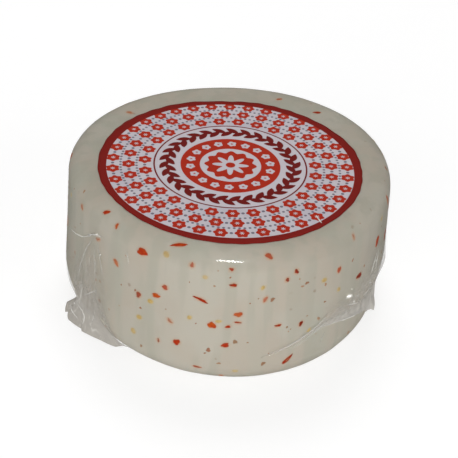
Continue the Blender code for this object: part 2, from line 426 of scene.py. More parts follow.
def labelFinish():
    finish, start, shader = newFinish("labelPaper", Roughness=0.5, Specular_IOR_Level=0.03)
    centre = (labelLow + labelHigh) / 2
    rim = (labelHigh.x - labelLow.x) / 2 / mm
    soft = 0.12  # mm over which an inked edge fades
    local = objectPlace(start, scale=(1 / mm,) * 3, location=(-centre.x / mm, -centre.y / mm, 0))
    split = {"Vector": local}
    across = local.add("ShaderNodeSeparateXYZ", values=split, out="X")
    along = local.add("ShaderNodeSeparateXYZ", values=split, out="Y")
    reach = (across * across + along * along) ** 0.5
    turn = along.maths("ARCTAN2", across) / (2 * math.pi)  # -0.5 to 0.5

    def cells(radius, count, offset=0.0):
        # place in the nearest of the cells that stand round a ring: along the ring and outwards
        cell = (turn * count + offset + count).maths("FRACT") - 0.5
        return cell * (2 * math.pi * radius / count), reach - radius

    def inside(distance):
        # 1 where the distance to an edge is negative
        return distance.step(soft, -soft)

    def ring(low, high):
        return inside(low - reach) * inside(reach - high)

    def dots(radius, count, size, offset=0.0):
        x, y = cells(radius, count, offset)
        return inside((x * x + y * y) ** 0.5 - size)

    def flowers(radius, count, size, petals, offset=0.0):
        x, y = cells(radius, count, offset)
        distance = (x * x + y * y) ** 0.5
        wave = (y.maths("ARCTAN2", x) * petals).maths("COSINE")
        petal = inside(distance - (size * 0.9 + wave * (size * 0.1)))
        return petal, inside(distance - (size * 0.22 + wave * (size * 0.12)))

    def leaves(radius, count, tilt, offset):
        x, y = cells(radius, count, offset)
        length, width = printed["leafHalfLength"], printed["leafHalfWidth"]
        u = x * math.cos(tilt) + y * math.sin(tilt)
        v = y * math.cos(tilt) - x * math.sin(tilt)
        return inside(v.maths("ABSOLUTE") - (1 - u * u / length ** 2) * width)

    colour = cloud(objectPlace(start), 0.02).step(0.4, 0.7).tint(ink["paper"], ink["paperShade"])

    def paint(mask, name):
        nonlocal colour
        colour = mask.tint(colour, ink[name])

    for radius, count in printed["dotRings"]:
        paint(dots(radius, count, printed["dotRadius"]), "grey")
    for radius, count in printed["flowerRings"]:
        petals, eye = flowers(radius, count, printed["flowerRadius"], 6)
        paint(petals, "red")
        paint(eye, "paper")
        paint(dots(radius, count, printed["greyDot"], 0.5), "grey")
    medallion = printed["medallion"]
    paint(inside(reach - medallion), "paper")
    paint(ring(medallion - printed["medallionLine"], medallion), "maroon")
    wreath, stem = printed["wreath"], printed["stem"]
    for side, offset in ((1, 0.0), (-1, 0.5)):
        radius = wreath + printed["leafShift"] * side
        paint(leaves(radius, printed["leaves"], printed["leafTilt"] * side, offset), "maroon")
    paint(ring(wreath - stem, wreath + stem), "maroon")
    low, high = printed["band"]
    paint(ring(low, high), "red")
    petals, eye = flowers((low + high) / 2, printed["bandFlowers"], printed["bandFlowerRadius"], 5)
    paint(petals - eye, "paper")
    for shape, name in (("rosette", "red"), ("star", "paper")):
        radius, depth, points = printed[shape]
        wave = (turn * (2 * math.pi * points)).maths("COSINE")
        paint(inside(reach - (radius + wave * depth)), name)
    paint(inside(reach - printed["eye"]), "red")
    x, y = across - printed["borderShift"][0], along - printed["borderShift"][1]
    cut = (x * x + y * y) ** 0.5
    paint(inside((rim - printed["borderWidth"]) - cut), "border")
    colour.into(shader, "Base Color")
    place = objectPlace(start)
    (0.44 + 0.12 * cloud(place, 0.006)).into(shader, "Roughness")
    addBump(place, cloud(place, 0.0006, 4), 0.08, 0.1 * mm, shader)
    return finish


# The wheel of cheese

wheel = {
    "radius": 90 * mm,  # at the top of the side
    "baseSpread": 4.2 * mm,  # how much wider the settled base is
    "shoulder": 10.6 * mm,  # rounding of the top edge
    "foot": 21 * mm,  # rounding of the bottom edge
    "wornFoot": 34 * mm,  # the same where that edge is pressed in
    "wornAt": 4,  # degrees
    "wornSpread": 29,
    "dent": (-14, 25, 12, 9, 2.4),  # azimuth, height, their spreads and depth
    "lobes": {2: (-0.0065, 0.0014), 3: (-0.0092, 0.0159)},  # out of round: cosine and sine share
    "turns": 480,
    "spacing": 1.15 * mm,  # from ring to ring
    "rim": 18 * mm,  # width of the top face that has close rings
    # shares of the radius at which the others stand
    "baseRings": (0, 0.4, 0.75, 0.93),
    "topRings": (0.7, 0.6, 0.45, 0.3, 0.15, 0),
    "inset": 0.25 * mm,  # the film takes this much of the pack's outer form
    "bands": 0.2 * mm,  # upright marks left by the cloth
    "bandsAround": 7,
    "bandsUp": 5,
    "swells": 0.22 * mm,
    "swellScale": 30,
    "grain": 0.03 * mm,
    "grainScale": 160,
}


def roundness(azimuth):
    lobes = wheel["lobes"].items()
    return 1 + sum(c * math.cos(n * azimuth) + s * math.sin(n * azimuth) for n, (c, s) in lobes)


def footRadius(azimuth):
    away = turnFrom(wheel["wornAt"], math.degrees(azimuth))
    return between(wheel["foot"], wheel["wornFoot"], math.exp(-((away / wheel["wornSpread"]) ** 2)))


def edgeCut(depth, radius):
    # how far a rounded edge stands back, at this depth below its flat face
    rise = radius - min(max(depth, 0), radius)
    return radius - math.sqrt(radius ** 2 - rise ** 2)


def wheelRadius(azimuth, height):
    side = (wheel["radius"] + wheel["baseSpread"] * (1 - height / packTop)) * roundness(azimuth)
    *patch, depth = wheel["dent"]
    side -= depth * mm * nearness(math.degrees(azimuth), height, patch)
    return side - edgeCut(height, footRadius(azimuth)) - edgeCut(packTop - height, wheel["shoulder"])


def onSide(azimuth, height, standOff=0.0):
    return polar(azimuth, wheelRadius(azimuth, height) + standOff, height)


def relief(place):
    # shallow unevenness of the pressed paste, which the tight film follows
    azimuth = math.atan2(place.y, place.x)
    side = 1 - eased(place.z, packTop - 9 * mm, packTop - 2 * mm)
    standing = eased(place.z, 0.5 * mm, 8 * mm)
    bands = noise.noise(polar(azimuth, wheel["bandsAround"], place.z * wheel["bandsUp"]))
    swells = noise.noise(place * wheel["swellScale"])
    grain = noise.noise(place * wheel["grainScale"])
    return (wheel["bands"] * bands * side + wheel["swells"] * swells + wheel["grain"] * grain) * standing


def ringStops(spacing):
    # share of the outline's radius and height of each ring, from the middle of the base to that of the top
    quarter = math.pi / 2
    foot, shoulder = wheel["foot"], wheel["shoulder"]
    footSteps = round(foot * quarter / spacing)
    sideSteps = round((packTop - foot - shoulder) / spacing)
    shoulderSteps = round(shoulder * quarter / spacing)
    flat = wheel["radius"] - shoulder
    stops = [(share, 0) for share in wheel["baseRings"]]
    stops += [(1, foot * (1 - math.cos(quarter * i / footSteps))) for i in range(footSteps + 1)]
    stops += [(1, between(foot, packTop - shoulder, i / sideSteps)) for i in range(1, sideSteps)]
    stops += [(1, packTop - shoulder * (1 - math.sin(quarter * i / shoulderSteps)))
              for i in range(shoulderSteps + 1)]
    stops += [(1 - i * spacing / flat, packTop) for i in range(1, round(wheel["rim"] / spacing))]
    return stops + [(share, packTop) for share in wheel["topRings"]]


def wheelShell(turns, spacing):
    # the profile turned about the axis, then pulled out of round
    outline = [(share * wheelRadius(0, height), 0, height) for share, height in ringStops(spacing)]
    bm = turnedAbout(outline, turns, 0.01 * mm)
    for vert in bm.verts:
        reach = vert.co.xy.length
        if reach > 0.1 * mm:
            azimuth = math.atan2(vert.co.y, vert.co.x)
            radius = wheelRadius(azimuth, vert.co.z) * reach / wheelRadius(0, vert.co.z)
            vert.co.xy = radius * math.cos(azimuth), radius * math.sin(azimuth)
    bmesh.ops.recalc_face_normals(bm, faces=bm.faces)
    bm.normal_update()
    return bm


# Chilli flakes and seeds

# The few flakes that stand out most on the front: azimuth, height, length, width and turn, in degrees and
# millimetres, then tone, from 0 for bright orange over 1 for dark red to 1.6 for brown, and depth.
frontFlakes = (
    (-118, 77, 6, 4.5, 0, 0.4, 0),
    (-106, 85, 8, 2, 20, 0.4, 0),
    (-138, 84, 5, 2, 40, 0.5, 0),
    (-129, 62, 5, 3, -40, 0.1, 0.3),
    (-112, 54, 5, 2.5, 10, 0.2, 0),
    (-109, 61, 3.5, 3, 10, 0.5, 0.2),
    (-104, 29, 4, 3.5, 20, 0.4, 0),
    (-97, 59, 9, 1.5, -20, 0.7, 0),
    (-97, 15, 5, 1.5, -10, 0.7, 0.2),
    (-93, 44, 5, 3.5, -30, 0.2, 0),
    (-88, 79, 2.5, 1.5, -10, 0.6, 0.1),
    (-88, 44, 3, 1.5, 20, 0.6, 0),
    (-85, 52, 4.5, 3, 0, 0.2, 0.1),
    (-85, 47, 4, 1, -10, 0.8, 0.1),
    (-76, 84, 5, 2.5, -40, 0.4, 0.2),
    (-72, 43, 3.5, 1.5, 0, 0.7, 0),
    (-70, 71, 2.5, 2, -60, 0.8, 0.1),
    (-68, 19, 7.5, 2.5, 50, 0.7, 0),
    (-64, 41, 3.5, 2, 60, 0.8, 0),
    (-38, 53, 5.5, 3, 0, 0.8, 0),
)
# The same on the top face, where the second number is the distance from the axis
rimFlakes = (
    (50, 75, 4.5, 2.5, 10, 0.7, 0),
    (70, 75, 4, 2, 20, 0.4, 0.3),
    (145, 75, 4.5, 2.5, -20, 0.1, 0.5),
)
# The seeds that stand out: azimuth, height, length, width, turn and depth
frontSeeds = (
    (-114, 49, 4, 3, 20, 0),
    (-118, 36, 4, 3, 20, 0.1),
    (-96, 73, 3, 3, 0, 0.6),
    (-91, 47, 4, 2, 10, 0.2),
    (-56, 64, 4, 3, -20, 0.2),
)
scatter = {
    "frontZone": (-150, -30),
    "frontLength": 4.6 * mm,  # there the scatter adds only flakes and seeds up to this long
    "earZones": ((-164, -124, 66), (-58, 24, 50)),  # azimuths, and the height up to which an ear covers it
    "heights": (7 * mm, 84 * mm),
    "flakes": 112,
    "flakeLengths": (2.6 * mm, 8.2 * mm),
    "slenderness": (0.25, 0.8),
    "seeds": 30,
    "seedLengths": (3.0 * mm, 4.4 * mm),
    "seedWidths": (0.6, 0.9),
    "apart": 6 * mm,
    "seed": 11,
    "goldenAngle": math.pi * (3 - math.sqrt(5)),
    "flecks": 180,
    "fleckLengths": (1.0, 3.2),
    "fleckTones": (1.0, 1.8),
    "fleckDepths": (0.4, 0.8),
    "fleckHeights": (6, 84),
    "tones": (0.2, 0.95),
    "deepest": 0.7,
    "deepestSeed": 0.5,
}
flake = {
    "corners": 14,
    "swells": ((2, 0.11), (3, 0.15), (5, 0.1)),  # how its outline bulges: lobes and share
    "bend": 0.35,
    "bendsFrom": 2.2,  # length over width from which it bends
    "border": (0.22, 0.6 * mm),  # its sloping edge: share of the width, and the most
    "borderTone": 0.1,
    "borderDepth": 0.3,
    "depth": 0.8 * mm,
    "proud": 0.05 * mm,
    "crown": 0.1 * mm,
    "stainReach": (0.9 * mm, 1.4 * mm),  # at the surface, and round one that lies deep
    "stainCore": 0.6,
    "stain": (0.75, 0.35),  # its strength, and how much of that a deep one lacks
    "deepShare": 0.3,  # how much smaller the solid part of a deep one is than its spot
    "seedHalfDepth": 0.36 * mm,
    "seedSink": 0.16 * mm,
    "seedStain": (0.9, 0.6),
    "seedStainReach": 0.6 * mm,
}


def scattered(count, lengths, widths, draw, taken):
    # rows for the spots, spread evenly by the golden angle
    rows = []
    low, high = scatter["frontZone"]
    for i in range(count):
        degrees = math.degrees(i * scatter["goldenAngle"]) + draw.uniform(-5, 5)
        degrees = turnFrom(0, degrees)
        height = between(*scatter["heights"], (i + draw.uniform(0, 1)) / count)
        length = between(*lengths, draw.random() ** 2)
        row = (degrees, height / mm, length / mm, length * draw.uniform(*widths) / mm, draw.uniform(0, 180))
        place = onSide(math.radians(degrees), height)
        hidden = any(a < degrees < b and height / mm < top for a, b, top in scatter["earZones"])
        if hidden or low < degrees < high and length > scatter["frontLength"]:
            continue
        if all((place - other).length > scatter["apart"] for other in taken):
            rows.append(row)
            taken.append(place)
    return rows


def layOn(place, normal, turn):
    # a frame on the surface, its own Z outwards, turned about it
    right = Vector((0, 0, 1)).cross(normal)
    right = right.normalized() if right.length > 0.05 else Vector((1, 0, 0))
    up = normal.cross(right).normalized()
    axes = Matrix((right, up, normal)).transposed().to_4x4()
    return Matrix.Translation(place) @ axes @ Matrix.Rotation(math.radians(turn), 4, "Z")


def sideFrame(skin, row):
    azimuth, height = math.radians(row[0]), row[1] * mm
    place, normal, _, _ = skin.ray_cast(middle, (onSide(azimuth, height) - middle).normalized())
    return layOn(place, normal, row[4])


def rimFrame(skin, row):
    azimuth, reach = math.radians(row[0]), row[1] * mm
    place, normal, _, _ = skin.ray_cast(polar(azimuth, reach, packTop + 10 * mm), Vector((0, 0, -1)))
    return layOn(place, normal, row[4])


def addFlake(bm, skin, frameHere, row, draw, layers):
    # an irregular chip that hugs the surface, with a slightly crowned face
    length, width = (size * mm * (1 - flake["deepShare"] * row[6]) for size in row[2:4])
    phases = [draw.uniform(0, 2 * math.pi) for _ in range(3)]
    bend = draw.uniform(-flake["bend"], flake["bend"]) if length > flake["bendsFrom"] * width else 0
    made = bmesh.ops.create_circle(bm, cap_ends=True, radius=0.5, segments=flake["corners"])
    outline = made["verts"]
    for vert in outline:
        turn = math.atan2(vert.co.y, vert.co.x)
        swell = 1 + sum(a * math.cos(n * turn + p) for (n, a), p in zip(flake["swells"], phases))
        x, y = vert.co.x * swell, vert.co.y * swell
        vert.co = Vector((x * length, y * width + bend * x * x * length, 0))
    face = outline[0].link_faces[0]
    cap = extruded(bm, face)
    share, most = flake["border"]
    border = bmesh.ops.inset_region(bm, faces=[cap], thickness=min(width * share, most))["faces"]
    crown = set(cap.verts)
    rim = {vert for side in border for vert in side.verts} - crown
    for verts, proud in ((outline, -flake["depth"]), (rim, flake["proud"]), (crown, flake["crown"])):
        for vert in verts:
            nearest, normal, _, _ = skin.find_nearest(frameHere @ vert.co)
            vert.co = nearest + normal * proud
            vert[layers["tone"]] = row[5] + (flake["borderTone"] if verts is rim else 0)
            vert[layers["buried"]] = min(row[6] + (flake["borderDepth"] if verts is rim else 0), 1)


def addSeed(bm, frameHere, row, layers):
    # a flattened bean, mostly sunk in the paste
    made = ball(bm, (row[2] * mm / 2, row[3] * mm / 2, flake["seedHalfDepth"]))
    bmesh.ops.translate(bm, vec=(0, 0, -flake["seedSink"]), verts=made)
    proud = flake["seedHalfDepth"] - flake["seedSink"]
    for vert in made:
        vert[layers["buried"]] = min(row[5] * 0.6 + 1 - eased(vert.co.z, -0.3 * proud, 0.5 * proud), 1)
    bmesh.ops.transform(bm, matrix=frameHere, verts=made)


def stainAround(tree, verts, layer, frameHere, row, strength, reach):
    # the paste takes on colour round a spot
    inverse = frameHere.inverted()
    halfLength, halfWidth = row[2] * mm / 2, row[3] * mm / 2
    for _, index, _ in tree.find_range(frameHere.translation, halfLength + reach):
        local = inverse @ verts[index].co
        shape = math.hypot(local.x / (halfLength + reach), local.y / (halfWidth + reach))
        inner = (halfWidth / (halfWidth + reach)) * flake["stainCore"]
        amount = strength * (1 - eased(shape, inner, 1))
        verts[index][layer] = max(verts[index][layer], amount)


def makeCheese():
    bm = wheelShell(wheel["turns"], wheel["spacing"])
    moves = []
    for vert in bm.verts:
        inset = wheel["inset"] * (1 - max(vert.normal.z, 0))
        moves.append(vert.normal * (relief(vert.co) - inset))
    for vert, move in zip(bm.verts, moves):
        vert.co += move
    bm.normal_update()
    bm.verts.ensure_lookup_table()
    skin = BVHTree.FromBMesh(bm)
    tree = kdtree.KDTree(len(bm.verts))
    for vert in bm.verts:
        tree.insert(vert.co, vert.index)
    tree.balance()
    stains = newLayers(bm, "chilliStain", "seedStain", "speckStain")
    verts = bm.verts
    draw = random.Random(scatter["seed"])
    taken = [onSide(math.radians(row[0]), row[1] * mm) for row in (*frontFlakes, *frontSeeds)]
    flakeRows = scattered(scatter["flakes"], scatter["flakeLengths"], scatter["slenderness"], draw, taken)
    seedRows = scattered(scatter["seeds"], scatter["seedLengths"], scatter["seedWidths"], draw, taken)
    flakeRows = [(*row, draw.uniform(*scatter["tones"]), draw.uniform(0, 1) ** 2 * scatter["deepest"])
                 for row in flakeRows]
    seedRows = [(*row, draw.uniform(0, scatter["deepestSeed"])) for row in seedRows]
    chips = bmesh.new()
    layers = newLayers(chips, "tone", "buried")
    placed = [(sideFrame(skin, row), row) for row in (*frontFlakes, *flakeRows)]
    placed += [(rimFrame(skin, row), row) for row in rimFlakes]
    full, less = flake["stain"]
    for frameHere, row in placed:
        addFlake(chips, skin, frameHere, row, draw, layers)
        layer = stains["chilliStain" if row[5] < 1 else "speckStain"]
        reach = between(*flake["stainReach"], row[6])
        stainAround(tree, verts, layer, frameHere, row, full - less * row[6], reach)
    for _ in range(scatter["flecks"]):
        size = between(*scatter["fleckLengths"], draw.random() ** 2)
        row = (draw.uniform(-180, 180), draw.uniform(*scatter["fleckHeights"]), size,
               size * draw.uniform(0.5, 1), draw.uniform(0, 180),
               draw.uniform(*scatter["fleckTones"]), draw.uniform(*scatter["fleckDepths"]))
        addFlake(chips, skin, sideFrame(skin, row), row, draw, layers)
    beans = bmesh.new()
    layers = newLayers(beans, "buried")
    full, less = flake["seedStain"]
    for row in (*frontSeeds, *seedRows):
        frameHere = sideFrame(skin, row)
        addSeed(beans, frameHere, row, layers)
        strength = full - less * row[5]
        stainAround(tree, verts, stains["seedStain"], frameHere, row, strength, flake["seedStainReach"])
    cheese = addPiece("cheese_wheel", bm, pasteFinish())
    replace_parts(cheese, "vacuum_pack")
    for bits in (chips, beans):
        bmesh.ops.recalc_face_normals(bits, faces=bits.faces)
    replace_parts(addPiece("chilli_flakes", chips, chilliFinish()), "vacuum_pack")
    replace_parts(addPiece("chilli_seeds", beans, seedFinish()), "vacuum_pack")


makeCheese()

# The label

label = {
    "rings": 40,
    "turns": 288,
    "clear": 0.08 * mm,  # between its underside and the cheese
    "thickness": 0.3 * mm,
    "ripple": 0.06 * mm,
    "creep": 0.14 * mm,  # how much its edge wavers, and twice as much at the back
    "wavers": 37,  # times round the edge, unevenly
    "uneven": (2, 5),
    "rippleScale": 90,
    # where its edge stands out or back: azimuth about its own centre, spread and amount, in degrees and mm
    "edgeWaves": (
        (-82, 24, 0.8), (97, 12, -1.4), (150, 15, 0.7), (20, 11, 0.7), (-142, 14, -0.5), (-35, 14, -0.5),
    ),
}
labelCentre = (labelLow + labelHigh) / 2
labelRadius = (labelHigh.x - labelLow.x) / 2


def labelReach(azimuth):
    waves = 0
    for at, spread, amount in label["edgeWaves"]:
        away = turnFrom(at, math.degrees(azimuth))
        waves += amount * mm * math.exp(-((away / spread) ** 2))
    creep = label["creep"] * (1 + max(math.sin(azimuth), 0))
    shift, times = label["uneven"]
    waver = math.sin(azimuth * label["wavers"] + shift * math.sin(azimuth * times))
    return labelRadius + waves + creep * waver


def makeLabel():
    rings = label["rings"]
    bm = turnedAbout([(i / rings, 0, 0) for i in range(rings + 1)], label["turns"], 0.0001)
    for vert in bm.verts:
        share = vert.co.xy.length
        azimuth = math.atan2(vert.co.y, vert.co.x)
        reach = share * between(labelRadius, labelReach(azimuth), eased(share, 0.7, 1))
        x, y = labelCentre.x + reach * math.cos(azimuth), labelCentre.y + reach * math.sin(azimuth)
        place = Vector((x, y, packTop))
        ripple = label["ripple"] * (noise.noise(place * label["rippleScale"]) + 1) / 2
        vert.co = place + Vector((0, 0, relief(place) + label["clear"] + label["thickness"] + ripple))
    thicken(bm, label["thickness"], lambda face: face.normal.z)
    piece = addPiece("printed_label", bm, labelFinish())
    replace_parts(piece, "paper_label")


makeLabel()

# The film

skinFilm = {
    "turns": 360,
    "spacing": 1.2 * mm,
    "gap": 0.12 * mm,
    "overLabel": 0.5 * mm,  # above the top face
    "step": (0.8 * mm, 6.0 * mm),  # outside the label's edge, where the film comes down again
    # patches of haze: azimuth, height, their spreads and amount
    "hazePatches": (
        (-138, 70, 7, 6, 0.14),
        (-140, 48, 9, 18, 0.1),
        (-28, 50, 12, 14, 0.06),
        (-10, 45, 14, 20, 0.12),
        (-48, 42, 7, 7, 0.12),
    ),
}


def skinHaze(place):
    degrees = math.degrees(math.atan2(place.y, place.x))
    return max(amount * nearness(degrees, place.z, patch) for *patch, amount in skinFilm["hazePatches"])


def makeSkin(finish):
    bm = wheelShell(skinFilm["turns"], skinFilm["spacing"])
    layers = newLayers(bm, "haze", "paintedLight")
    near, far = skinFilm["step"]
    moves = []
    for vert in bm.verts:
        move = vert.normal * (relief(vert.co) + skinFilm["gap"])
        if vert.normal.z > 0.7:
            away = vert.co - labelCentre
            past = away.xy.length - labelReach(math.atan2(away.y, away.x))
            move.z += (skinFilm["overLabel"] - skinFilm["gap"]) * (1 - eased(past, near, far))
        vert[layers["haze"]] = skinHaze(vert.co)
        moves.append(move)
    for vert, move in zip(bm.verts, moves):
        vert.co += move
        vert.co.z = max(vert.co.z, 0.02 * mm)
    return addFilm("film_skin", bm, finish)


# Rows of a gathered ear: azimuth on the wheel, height of the sheet's root and height below which it hangs
# free, then azimuth, height and stand-off of its free edge, and its haze where it lies and where it hangs.
# Degrees and millimetres.
leftEar = {
    "name": "film_ear_left",
    "rows": (
        (-170, 26, 22, -170, 13, 0.3, 0, 0),
        (-161, 34, 16, -161, 10, 0.6, 0.08, 0.1),
        (-155.4, 40, 13, -155.4, 9.5, 0.7, 0.15, 0.2),
        (-155.2, 40, 12, -155.8, 9, 7.1, 0.2, 0.8),
        (-154.4, 44, 12.5, -154.4, 4, 13.9, 0.22, 0.85),
        (-153.8, 47, 13, -154.2, 4, 12.4, 0.22, 0.85),
        (-151.5, 56, 17, -152.1, 1.2, 18.7, 0.2, 0.8),
        (-147, 64, 21, -146, 1.2, 15.2, 0.2, 0.75),
        (-146, 66, 22, -144.9, 1, 16.7, 0.2, 0.75),
        (-141, 71, 25, -140.2, 1.2, 13.4, 0.15, 0.65),
        (-137, 62, 25, -137, 1.2, 11.5, 0.08, 0.55),
        (-134, 44, 23, -134, 1.2, 10, 0.05, 0.45),
        (-131, 28, 18, -131, 1.2, 8.2, 0.02, 0.35),
        (-127.5, 15, 9, -129.1, 2, 3.6, 0, 0.08),
        (-124, 5, 4, -124, 1.6, 1, 0, 0),
    ),
    "knot": -141,  # azimuth where its folds come together
    "grain": (0.16, 1.3),  # folds to a degree, and down the sheet
    "paintedLight": 0,  # how much lighter its haze is painted, as painted light; none on this ear
    "edgeHaze": 0.92,
    "bulges": ((-160, 17, 7, 7, 0.5),),  # azimuth, height, their spreads and the stand-off
}
rightEar = {
    "name": "film_ear_right",
    "rows": (
        (-77, 24.5, 24, -77, 23.5, 0.25, 0, 0.05),
        (-71, 28, 27, -71, 26.5, 0.25, 0.05, 0.1),
        (-66, 30.5, 29, -66, 28.3, 0.3, 0.1, 0.15),
        (-62, 34, 32, -62, 31, 0.35, 0.12, 0.25),
        (-56, 39.5, 35.5, -56, 34, 0.4, 0.18, 0.35),
        (-50, 44, 34.5, -50, 33, 0.6, 0.22, 0.55),
        (-43, 47, 31.5, -43, 30, 0.9, 0.3, 0.75),
        (-38, 50, 30, -38, 28, 1, 0.25, 0.75),
        (-32, 55, 27, -31.5, 24, 0.8, 0.25, 0.8),
        (-30, 58, 26, -29.3, 20, 0.4, 0.25, 0.8),
        (-27, 61, 25.5, -26.5, 18, 0.6, 0.25, 0.8),
        (-25.5, 62, 25, -24.7, 17, 2, 0.25, 0.8),
        (-24, 62, 24.5, -24.6, 16.8, 3.6, 0.25, 0.8),
        (-22, 63, 24, -22.5, 18.5, 3, 0.25, 0.8),
        (-18, 62, 24, -18, 19, 1.4, 0.25, 0.8),
        (-10, 56, 24, -10, 18, 0.7, 0.2, 0.6),
        (-2, 44, 24, -2, 17, 0.6, 0.2, 0.6),
        (6, 34, 23, 6, 17.5, 0.6, 0.15, 0.5),
        (14, 28, 23.5, 14, 19, 0.5, 0, 0.2),
    ),
    "knot": -25,
    "grain": (0.035, 3.2),
    # its haze is painted lighter: painted light standing in for light that the film scatters onto this side
    "paintedLight": 0.36,
    "edgeHaze": 0,  # its edge is no hazier than the rows say
    "bulges": ((-20, 46, 7, 8, 2.6), (-12, 60, 8, 8, 0.8)),
}
earSheet = {
    "columns": 2.0,  # to a degree
    "steps": 64,
    "lyingShare": 0.6,  # of those steps
    "lift": 0.2 * mm,  # off the skin where it lies flat
    "lyingFold": 0.16 * mm,
    "freeFold": 0.6 * mm,
    "thickness": 0.2 * mm,
    "hazeRise": (0.38, 0.66),  # it turns hazier between these shares of the way down
    "edgeRise": (0.15, 0.6),  # and again towards its edge, in shares of the part that hangs free
    "rootFade": 0.4,
    "hazyFrom": 6,  # mm that its edge stands off before that edge is as hazy as it gets
    "foldsFrom": 4,  # the same for the depth of its folds
    "crispScale": 1.7,
    "crispness": 16,
    "crispRise": 0.1,
    # its crisp ridges are made hazier and painted white as painted highlights
    "crispHaze": 0.1,
    "crispPaintedHighlight": 0.5,
}


def columnMarks(rows):
    # where the sheet's columns stand, counted in rows
    marks = [0.0]
    for i, (low, high) in enumerate(zip(rows, rows[1:])):
        steps = max(3, round((high[0] - low[0]) * earSheet["columns"]))
        marks += [i + (step + 1) / steps for step in range(steps)]
    return marks


def rowAt(rows, mark):
    index = min(int(mark), len(rows) - 2)
    return [between(a, b, mark - index) for a, b in zip(rows[index], rows[index + 1])]


def earPoint(ear, mark, down):
    at, root, leaves, edgeAt, edge, standOff, lyingHaze, freeHaze = rowAt(ear["rows"], mark)
    lying = earSheet["lyingShare"]
    if down < lying:
        free = 0
        degrees, height = at, between(root, leaves, down / lying) * mm
        radius = wheelRadius(math.radians(degrees), height) + earSheet["lift"]
    else:
        free = (down - lying) / (1 - lying)
        degrees, height = between(at, edgeAt, free), between(leaves, edge, free) * mm
        start = wheelRadius(math.radians(at), leaves * mm) + earSheet["lift"]
        end = wheelRadius(math.radians(edgeAt), edge * mm) + standOff * mm
        radius = between(start, end, free)
    for bulgeAt, level, spread, rise, amount in ear["bulges"]:
        near = math.exp(-(((degrees - bulgeAt) / spread) ** 2) - ((height / mm - level) / rise) ** 2)
        radius += amount * mm * near
    last = len(ear["rows"]) - 1
    fade = eased(down, 0, 0.25) * eased(mark, 0, 0.8) * eased(last - mark, 0, 0.8)
    across, along = ear["grain"]
    place = Vector(((degrees - ear["knot"]) / between(0.35, 1, down) * across, down * along, ear["knot"]))
    wave = noise.noise(place)
    crisp = max(1 - abs(noise.noise(place * earSheet["crispScale"])) * earSheet["crispness"], 0) * fade
    freeFold = earSheet["freeFold"] * min(standOff / earSheet["foldsFrom"], 1)
    depth = between(earSheet["lyingFold"], freeFold, free)
    radius += depth * (wave + 0.5 + earSheet["crispRise"] * crisp) * fade
    place = polar(math.radians(degrees), radius, height)
    streak = noise.noise(Vector((degrees * 0.5, down * 2, 3))) * 0.6 * (1 - free)
    lower = eased(down, *earSheet["hazeRise"])
    cover = between(lyingHaze * eased(down, 0, earSheet["rootFade"]), freeHaze, lower) * (1 + streak)
    edgeHaze = max(cover, ear["edgeHaze"] * min(standOff / earSheet["hazyFrom"], 1))
    cover = between(cover, edgeHaze, eased(free, *earSheet["edgeRise"]))
    # crisp ridges carry a painted highlight white
    return place, cover + crisp * earSheet["crispHaze"], max(ear["paintedLight"], crisp * earSheet["crispPaintedHighlight"])


def makeEar(ear, finish):
    bm = bmesh.new()
    layers = newLayers(bm, "haze", "paintedLight")
    marks = columnMarks(ear["rows"])
    columns = len(marks) - 1
    bmesh.ops.create_grid(bm, x_segments=columns, y_segments=earSheet["steps"], size=0.5)
    for vert in bm.verts:
        mark, down = marks[round((vert.co.x + 0.5) * columns)], 0.5 - vert.co.y
        vert.co, vert[layers["haze"]], vert[layers["paintedLight"]] = earPoint(ear, mark, down)
    thicken(bm, earSheet["thickness"], lambda face: face.normal.dot(face.calc_center_median()))
    return addFilm(ear["name"], bm, finish)


# Creases of the film: thin strips painted white as painted highlights where folds catch the light; half
# width and highlight strength, then azimuths and heights
skinCreases = (
    # from the left ear's knot
    (0.4, 0.6, ((-164, 51), (-155, 56), (-148, 61), (-141, 69))),
    (0.4, 0.55, ((-141, 67), (-146, 55), (-150, 40), (-153, 22))),
    (0.35, 0.45, ((-141, 64), (-140, 52), (-139, 38))),
    (0.5, 0.6, ((-146, 64), (-141, 69), (-136, 72))),
    (0.4, 0.5, ((-123, 66), (-124, 73))),
    (0.4, 0.5, ((-146, 24), (-142, 30), (-138, 36))),
    (0.4, 0.4, ((-139, 66), (-135, 48))),
    # on its tip
    (0.5, 1, ((-155, 8), (-148, 6))),
    (0.5, 1, ((-151, 14), (-145, 12), (-145, 5))),
    (0.4, 0.35, ((-139, 22), (-141, 8))),
    # along the right ear
    (0.35, 0.55, ((-52, 42), (-58, 36), (-66, 30), (-74, 25))),
    (0.3, 0.4, ((-53, 38), (-60, 31), (-67, 26))),
    (0.4, 0.8, ((-56, 34), (-45, 31), (-34, 26))),
    (0.3, 0.35, ((-56, 23), (-54, 30))),
    (0.4, 0.55, ((-45, 40), (-36, 34))),
    (0.4, 0.8, ((-25, 58), (-30, 46))),
    (0.4, 0.8, ((-23, 59), (-27, 47))),
    (0.4, 0.6, ((-27, 36), (-34, 36))),
)
# One more painted highlight crease across the label's border, with its places from the axis in millimetres
topCrease = (0.6, 1.0, ((45, -51), (48, -58)))
